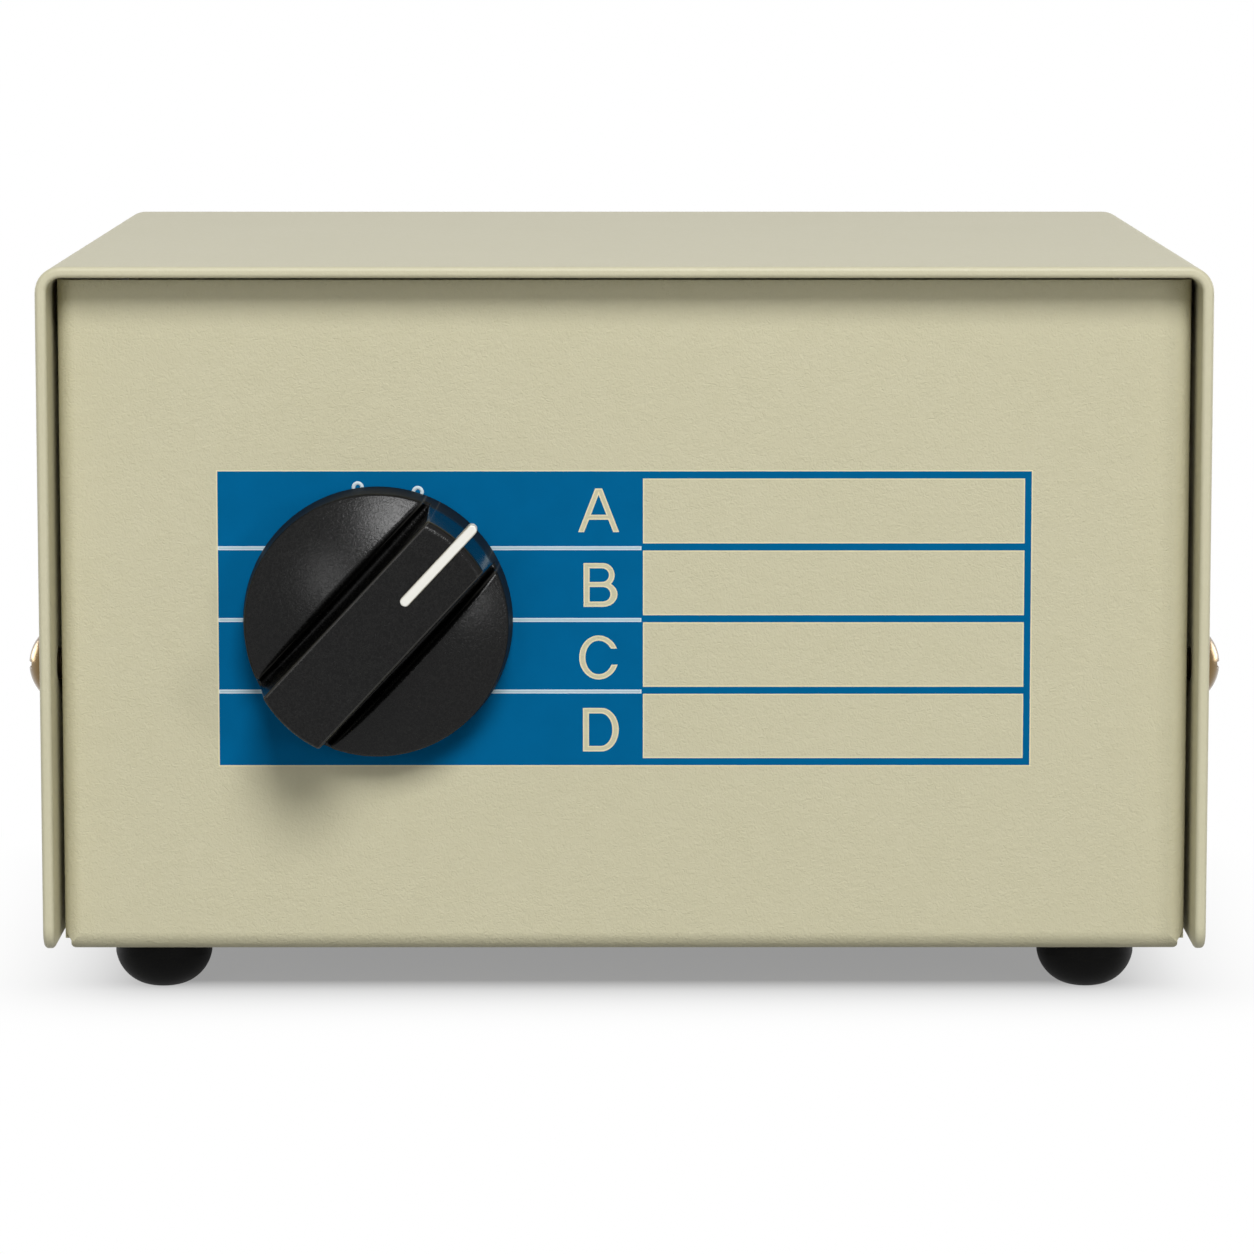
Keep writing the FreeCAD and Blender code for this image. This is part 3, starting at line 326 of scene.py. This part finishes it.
def knob_moulding(name, colors, highlight_color):
    """Black knob: polished flutes, leather grain on what faces the user, dull skirt, painted highlight lines on
    edges.
    """
    finish = Finish(name, colors[0], 0.3, specular=0.18)
    arm, off_line = from_grip_line(finish)
    normal = finish.add("TexCoord", output="Normal")
    facing = finish.vector("DOT_PRODUCT", normal, (0.0, -1.0, 0.0), output="Value")
    front = finish.rise(facing, *GRAIN_FACING)
    flat_arm = finish.vector("MULTIPLY", arm, (1.0, 0.0, 1.0))
    reach = finish.vector("LENGTH", flat_arm, output="Value")
    skirt = finish.rise(reach, *[limit * MM for limit in SKIRT_REACH])
    leather = finish.noise(size=0.36, distortion=1.4)
    creases = finish.rise(leather, 0.42, 0.62)
    polish = finish.noise(size=2.6, detail=3)
    # painted highlight: thin lighter lines along the grip's top edges and the crests beside them
    edges = sum(finish.rise(abs(off_line - line * MM), half * MM, 0.0) for line, half in GRIP_HIGHLIGHT_LINES)
    grained = finish.blend(creases * (polish * 0.6 + 0.4) * front, *colors)
    finish.set("Base Color", finish.blend(edges * (0.35 + polish * 0.9), grained, highlight_color))
    finish.set("Roughness", 0.16 + polish * 0.05 + front * 0.02 + skirt * 0.4)
    finish.bump(leather * (front * 0.97 + 0.03), depth=0.03)
    return finish.material


def plated(name, colors, roughness):
    """Plated metal with the faint marks of tumbling and handling."""
    finish = Finish(name, colors[0], roughness, metallic=1.0)
    cloud = finish.noise(size=3.0, detail=3)
    scratch = finish.noise(size=0.35, stretch=(1.0, 6.0, 1.0))
    finish.set("Base Color", finish.blend(cloud, *colors))
    finish.set("Roughness", roughness * 0.7 + cloud * roughness * 0.6)
    finish.bump(scratch, depth=0.006)
    return finish.material


def plated_screw(name, colors, thread, side):
    """Plated screw: bright head outside the cover's side, and a dull thread painted dark as shade in the gap."""
    finish = Finish(name, colors[0], 0.18, metallic=1.0)
    cloud = finish.noise(size=3.0, detail=3)
    scratch = finish.noise(size=0.35, stretch=(1.0, 6.0, 1.0))
    along = finish.add("SeparateXYZ", {0: finish.place}, "X")
    shank = finish.rise(abs(along), *[side - depth * MM for depth in SHANK_DEPTH])
    turns = finish.math("SINE", along * (2 * math.pi / (THREAD_PITCH * MM)))
    # painted shade: the thread across the gap between cover and tray is coloured dark
    finish.set("Base Color", finish.blend(shank, finish.blend(cloud, *colors), thread))
    finish.set("Roughness", 0.13 + cloud * 0.11 + shank * 0.4)
    finish.bump(turns * shank * 0.5 + scratch * 0.02, depth=0.3)
    return finish.material


def rubber(name, colors):
    """Moulded rubber with a dusty bloom."""
    finish = Finish(name, colors[0], 0.5, specular=0.07)
    bloom = finish.noise(size=2.2, detail=4)
    pores = finish.noise(size=0.22, detail=1)
    finish.set("Base Color", finish.blend(bloom * 0.8, *colors))
    finish.set("Roughness", 0.42 + bloom * 0.2)
    finish.bump(pores, depth=0.01)
    return finish.material


# Geometry Nodes


class Nodes:
    """A Geometry Nodes tree with named inputs, applied to give a plain mesh."""

    def __init__(self, name, sizes):
        self.tree = bpy.data.node_groups.new(name, "GeometryNodeTree")
        interface = self.tree.interface
        interface.new_socket("Geometry", in_out="OUTPUT", socket_type="NodeSocketGeometry")
        kinds = {int: "NodeSocketInt", float: "NodeSocketFloat"}
        for label, value in sizes.items():
            interface.new_socket(label, in_out="INPUT", socket_type=kinds[type(value)])
        self.sizes = sizes
        self.inputs = self.tree.nodes.new("NodeGroupInput")

    def size(self, label):
        return self.inputs.outputs[label]

    def add(self, kind, inputs=None, **settings):
        """One node: its settings come first, then what its sockets hold or are linked to."""
        node = self.tree.nodes.new(kind)
        for name, value in settings.items():
            setattr(node, name, value)
        for name, value in (inputs or {}).items():
            if isinstance(value, bpy.types.NodeSocket):
                self.tree.links.new(value, node.inputs[name])
            else:
                node.inputs[name].default_value = value
        return node.outputs[0]

    def math(self, operation, *operands):
        return self.add("ShaderNodeMath", dict(enumerate(operands)), operation=operation)

    def vector(self, x=0.0, y=0.0, z=0.0):
        return self.add("ShaderNodeCombineXYZ", {"X": x, "Y": y, "Z": z})

    def bake(self, name, geometry, material):
        """Realises the instances, sets the material and returns an object with the plain mesh."""
        realized = self.add("GeometryNodeRealizeInstances", {"Geometry": geometry})
        finished = self.add("GeometryNodeSetMaterial", {"Geometry": realized, "Material": material})
        output = self.tree.nodes.new("NodeGroupOutput")
        self.tree.links.new(finished, output.inputs["Geometry"])
        carrier = new_object(name + "_carrier", bpy.data.meshes.new(name + "_carrier"))
        modifier = carrier.modifiers.new(name, "NODES")
        modifier.node_group = self.tree
        for item in self.tree.interface.items_tree:
            if item.in_out == "INPUT":
                modifier[item.identifier] = self.sizes[item.name]
        bpy.context.view_layer.update()
        evaluated = carrier.evaluated_get(bpy.context.evaluated_depsgraph_get())
        mesh = bpy.data.meshes.new_from_object(evaluated)
        mesh.name = name
        bpy.data.objects.remove(carrier)
        return new_object(name, mesh)


def new_object(name, data):
    """Links an object with this mesh, lamp or camera into the scene."""
    item = bpy.data.objects.new(name, data)
    bpy.context.scene.collection.objects.link(item)
    return item


def row_of_bars(name, material, sizes):
    """Bars one above another, centred on the origin, on the XZ plane."""
    nodes = Nodes(name, sizes)
    span = nodes.math("MULTIPLY", nodes.math("SUBTRACT", nodes.size("Count"), 1.0), nodes.size("Pitch"))
    start = nodes.vector(z=nodes.math("MULTIPLY", span, -0.5))
    offset = nodes.vector(z=nodes.size("Pitch"))
    inputs = {"Count": nodes.size("Count"), "Start Location": start, "Offset": offset}
    line = nodes.add("GeometryNodeMeshLine", inputs)
    size = nodes.vector(nodes.size("Length"), nodes.size("Thickness"), nodes.size("Width"))
    bar = nodes.add("GeometryNodeMeshCube", {"Size": size})
    bars = nodes.add("GeometryNodeInstanceOnPoints", {"Points": line, "Instance": bar})
    return nodes.bake(name, bars, material)


def arc_of_rings(name, material, sizes):
    """Small flat rings on an arc about the origin, on the XZ plane; angles are clockwise from up."""
    nodes = Nodes(name, sizes)
    points = nodes.add("GeometryNodePoints", {"Count": nodes.size("Count")})
    index = nodes.add("GeometryNodeInputIndex")
    angle = nodes.math("ADD", nodes.math("MULTIPLY", index, nodes.size("Pitch")), nodes.size("First"))
    across = nodes.math("MULTIPLY", nodes.math("SINE", angle), nodes.size("Reach"))
    up = nodes.math("MULTIPLY", nodes.math("COSINE", angle), nodes.size("Reach"))
    inputs = {"Geometry": points, "Position": nodes.vector(x=across, z=up)}
    placed = nodes.add("GeometryNodeSetPosition", inputs)
    inputs = {"Resolution": MARK_STEPS, "Radius": nodes.size("Middle Radius")}
    circle = nodes.add("GeometryNodeCurvePrimitiveCircle", inputs)
    inputs = {"Width": nodes.size("Width"), "Height": nodes.size("Thickness")}
    section = nodes.add("GeometryNodeCurvePrimitiveQuadrilateral", inputs)
    ring = nodes.add("GeometryNodeCurveToMesh", {"Curve": circle, "Profile Curve": section})
    inputs = {"Geometry": ring, "Rotation": (math.radians(90), 0.0, 0.0)}
    upright = nodes.add("GeometryNodeTransform", inputs)
    rings = nodes.add("GeometryNodeInstanceOnPoints", {"Points": placed, "Instance": upright})
    return nodes.bake(name, rings, material)


# Meshes


def shift(piece, across, ahead, up):
    """Moves the mesh itself, in metres, so that the object stays at the origin."""
    piece.data.transform(Matrix.Translation((across, ahead, up)))


def rectangle(left, right, low, high):
    """Corners, counter-clockwise from the lower left."""
    return [(left, low), (right, low), (right, high), (left, high)]


def arc(across, up, reach, rise, start, end, steps=10):
    """Points on an ellipse between two angles in degrees, counter-clockwise from its right end."""
    angles = [math.radians(start + (end - start) * i / steps) for i in range(steps + 1)]
    return [(across + reach * math.cos(a), up + rise * math.sin(a)) for a in angles]


def letter_shapes():
    """Outline of each letter and its counters, in millimetres from its lower left corner."""
    c_outer = (2.56, 2.95)
    return {
        "A": (
            [(0, 0), (0.79, 0), (1.43, 1.64), (3.99, 1.64), (4.63, 0), (5.42, 0), (3.17, 5.8), (2.25, 5.8)],
            [(1.69, 2.31), (3.73, 2.31), (2.71, 4.94)],
        ),
        "B": (
            [(0, 0)]
            + arc(2.6, 1.66, 1.9, 1.66, -90, 57.3)
            + arc(2.59, 4.24, 1.53, 1.6, -48.1, 90)[1:]
            + [(0, 5.84)],
            [(0.8, 0.71)] + arc(2.56, 1.68, 1.0, 0.97, -90, 90) + [(0.8, 2.65)],
            [(0.8, 3.32)] + arc(2.45, 4.23, 0.92, 0.91, -90, 90) + [(0.8, 5.14)],
        ),
        "C": (
            arc(*c_outer, 2.68, 2.95, 23.5, 90)
            + arc(*c_outer, 2.56, 2.95, 90, 270, 20)[1:]
            + arc(*c_outer, 2.68, 2.95, 270, 341)[1:]
            + arc(*c_outer, 1.91, 2.25, 334.7, 270)
            + arc(*c_outer, 1.74, 2.25, 270, 90, 20)[1:]
            + arc(*c_outer, 1.91, 2.25, 90, 31.5)[1:],
        ),
        "D": (
            [(0, 0)] + arc(2.46, 2.92, 2.3, 2.92, -90, 90, 20) + [(0, 5.84)],
            [(0.8, 0.74)] + arc(2.39, 2.92, 1.52, 2.18, -90, 90, 20) + [(0.8, 5.1)],
        ),
    }


def grown(loop, by):
    """A counter-clockwise loop moved outwards, with its corners kept sharp."""
    moved = []
    for before, here, after in zip(loop[-1:] + loop[:-1], loop, loop[1:] + loop[:1]):
        arriving = (Vector(here) - Vector(before)).normalized()
        leaving = (Vector(after) - Vector(here)).normalized()
        outwards = Vector((arriving.y + leaving.y, -arriving.x - leaving.x)).normalized()
        spread = outwards.dot(Vector((arriving.y, -arriving.x)))
        moved.append(tuple(Vector(here) + outwards * by / spread))
    return moved


def slab(name, material, areas, thickness):
    """Thin plate before the XZ plane, in millimetres; each area is its outline, then the windows in it."""
    mesh = bmesh.new()
    for area in areas:
        edges = []
        for loop in area:
            corners = [mesh.verts.new((x * MM, 0.0, z * MM)) for x, z in loop]
            edges += [mesh.edges.new(pair) for pair in zip(corners, corners[1:] + corners[:1])]
        bmesh.ops.triangle_fill(mesh, use_beauty=True, edges=edges)
    walls = bmesh.ops.extrude_face_region(mesh, geom=mesh.faces[:])
    lifted = [v for v in walls["geom"] if isinstance(v, bmesh.types.BMVert)]
    bmesh.ops.translate(mesh, verts=lifted, vec=(0.0, -thickness * MM, 0.0))
    bmesh.ops.recalc_face_normals(mesh, faces=mesh.faces)
    data = bpy.data.meshes.new(name)
    mesh.to_mesh(data)
    mesh.free()
    data.materials.append(material)
    return new_object(name, data)


# Scene


def set_camera(front, underside):
    """Camera before the cover's front edge, tipped down a little."""
    data = bpy.data.cameras.new("camera")
    data.lens = LENS
    data.sensor_width = SENSOR
    data.clip_end = CAMERA_END
    camera = new_object("camera", data)
    camera.location = (CAMERA_ACROSS * MM, front - CAMERA_AHEAD * MM, underside + CAMERA_UP * MM)
    camera.rotation_euler = (math.radians(90 - CAMERA_PITCH), 0.0, math.radians(-CAMERA_YAW))
    bpy.context.scene.camera = camera


def softbox(name, place, size, power):
    """Soft rectangular lamp that faces the box."""
    data = bpy.data.lights.new(name, "AREA")
    data.shape = "RECTANGLE"
    data.size, data.size_y = size
    data.energy = power
    light = new_object(name, data)
    light.location = place
    light.rotation_euler = (Vector(LAMP_TARGET) - Vector(place)).to_track_quat("-Z", "Y").to_euler()


def light_room():
    """Soft lamps in a plain room that shows as white."""
    for name, lamp in LAMPS.items():
        softbox(name, *lamp)
    world = bpy.data.worlds.new("room")
    bpy.context.scene.world = world
    world.use_nodes = True
    room = Shading(world.node_tree)
    plain = room.tree.nodes["Background"]
    room.put(plain.inputs["Color"], (ROOM_LIGHT, ROOM_LIGHT, ROOM_LIGHT, 1.0))
    white = room.add("Background", {"Color": WHITE})
    shown = room.add("MixShader", {0: room.seen_directly(), 1: Value(room, plain.outputs[0]), 2: white})
    room.put(room.tree.nodes["World Output"].inputs["Surface"], shown)


def floor():
    """Pale floor: it keeps the shadow under and near the box, and shows as plain white further out."""
    bpy.ops.mesh.primitive_plane_add(size=FLOOR_SIZE)
    plane = bpy.context.active_object
    plane.name = "floor"
    finish = Finish("floor_white", FLOOR_GREY, 0.9, specular=0.1)
    folded = finish.vector("ABSOLUTE", finish.place)
    past = finish.vector("SUBTRACT", folded, (SHADE_ACROSS, SHADE_AHEAD, 0.0))
    outside = finish.vector("MAXIMUM", past, (0.0, 0.0, 0.0))
    distance = finish.vector("LENGTH", outside, output="Value")
    shade = finish.rise(distance, SHADE_FADE, 0.0) ** SHADE_CURVE
    share = (1.0 - shade * (1.0 - SHADE_WHITE)) * finish.seen_directly()
    glow = finish.add("Emission", {"Color": WHITE, "Strength": 1.0})
    shown = finish.add("MixShader", {0: share, 1: Value(finish, finish.shader.outputs["BSDF"]), 2: glow})
    finish.put(finish.tree.nodes["Material Output"].inputs["Surface"], shown)
    plane.data.materials.append(finish.material)


# Label


def label_loops(pitch):
    """Outline of the label, the windows in its blue, and the islands inside the letters, in millimetres."""
    outline = rectangle(LABEL_LEFT, LABEL_RIGHT, LABEL_LOW, LABEL_HIGH)
    windows, islands = [], []
    for row in range(ROWS):
        low = LABEL_LOW + ROW_LINE + row * pitch
        windows.append(rectangle(CELLS_LEFT, LABEL_RIGHT - SIDE_LINE, low, low + pitch - ROW_LINE))
    for character, (shape, *counters) in letter_shapes().items():
        across, foot = LETTER_PLACES[character]
        windows.append([(x + across, z + foot) for x, z in shape])
        islands += [[(x + across, z + foot) for x, z in counter] for counter in counters]
    return outline, windows, islands


def print_block(name, colors, grow, layer, pitch, face, underside):
    """One layer of the block with its cells and letters left open, grown all round by some millimetres."""
    outline, windows, islands = label_loops(pitch)
    areas = [[grown(outline, grow)] + [grown(window, -grow) for window in windows]]
    areas += [[grown(island, grow)] for island in islands]
    block = slab(name, ink(*colors), areas, INK_SINK + INK * layer)
    shift(block, 0.0, face, underside)
    return block


def print_rules(name, colors, narrower, layer, pitch, face, underside):
    """The pale rules between the rows of the blue block, narrower by some millimetres in all."""
    rule_right = CELLS_LEFT - RULE_END
    thickness = (INK_SINK + INK * layer) * MM
    sizes = {
        "Count": ROWS - 1,
        "Pitch": pitch * MM,
        "Length": (rule_right - LABEL_LEFT - narrower) * MM,
        "Width": (RULE - narrower) * MM,
        "Thickness": thickness,
    }
    rules = row_of_bars(name, ink(*colors), sizes)
    middle = (LABEL_LOW + LABEL_HIGH) / 2 - RULE_DROP
    shift(rules, (rule_right + LABEL_LEFT) / 2 * MM, face - thickness / 2, underside + middle * MM)
    return rules


def print_marks(layer, face):
    """The index marks, on an arc about the shaft."""
    thickness = (INK_SINK + INK * layer) * MM
    sizes = {
        "Count": MARKS,
        "Pitch": math.radians(MARK_PITCH),
        "First": math.radians(REST_ANGLE - MARKS * MARK_PITCH),
        "Reach": MARK_REACH * MM,
        "Middle Radius": (MARK_RADIUS + MARK_HOLE) / 2 * MM,
        "Width": (MARK_RADIUS - MARK_HOLE) * MM,
        "Thickness": thickness,
    }
    marks = arc_of_rings("index_marks", ink("mark_ink", PALE_EDGE), sizes)
    shaft = frame["joints"][0]["pos_m"]
    shift(marks, shaft[0], face - thickness / 2, shaft[2])
    return marks


def print_label(panel, underside):
    """Label printed on the front panel in layers: cream underprint, blue, pale rules and index marks."""
    face = panel + INK_SINK * MM
    pitch = (LABEL_HIGH - LABEL_LOW - ROW_LINE) / ROWS
    place = (pitch, face, underside)
    printed = [
        print_block("underprint", ("halo_ink", HALO_CREAM), HALO, 1, *place),
        print_block("blue_print", ("blue_ink", BLUE), 0.0, 2, *place),
        print_rules("rule_edges", ("rule_edges_ink", PALE_EDGE), 0.0, 3, *place),
        print_rules("rules", ("rules_ink", PALE), 2 * EDGE, 4, *place),
        print_marks(3, face),
    ]
    for piece in printed:
        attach(piece, "case")


def paint_nodes(cover_side):
    """Gives every carried-over solid the finish of its slot."""
    finishes = {
        "case_paint": textured_enamel("case_enamel", ENAMEL, 0.06),
        "panel_paint": textured_enamel("panel_enamel", ENAMEL, 0.15, 0.5, 0.15),
        "screw_plate": plated_screw("yellow_plate", SCREW_PLATE, SCREW_THREAD_SHADE, cover_side),
        "foot_rubber": rubber("foot_rubber_black", FOOT_BLACK),
        "knob_plastic": knob_moulding("knob_black", KNOB_BLACK, KNOB_EDGE_HIGHLIGHT),
        "pointer_white": pointer_insert("pointer_plastic", POINTER_WHITE),
    }
    finishes.update({slot: plated(*metal) for slot, metal in METALS.items()})
    finishes.update({slot: grained_plastic(*plastic) for slot, plastic in PLASTICS.items()})
    slots = {s["node"]: s["material_slot"] for s in frame["record"]["subparts"]}
    for name, node in frame["nodes"].items():
        for material_slot in node.material_slots:
            material_slot.material = finishes[slots[name]]


cover_low, cover_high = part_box("cover")
tray_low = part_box("tray")[0]

bpy.context.scene.view_settings.view_transform = "Standard"
set_camera(cover_low.y, tray_low.z)
light_room()
floor()
paint_nodes(cover_high.x)
print_label(tray_low.y, tray_low.z)
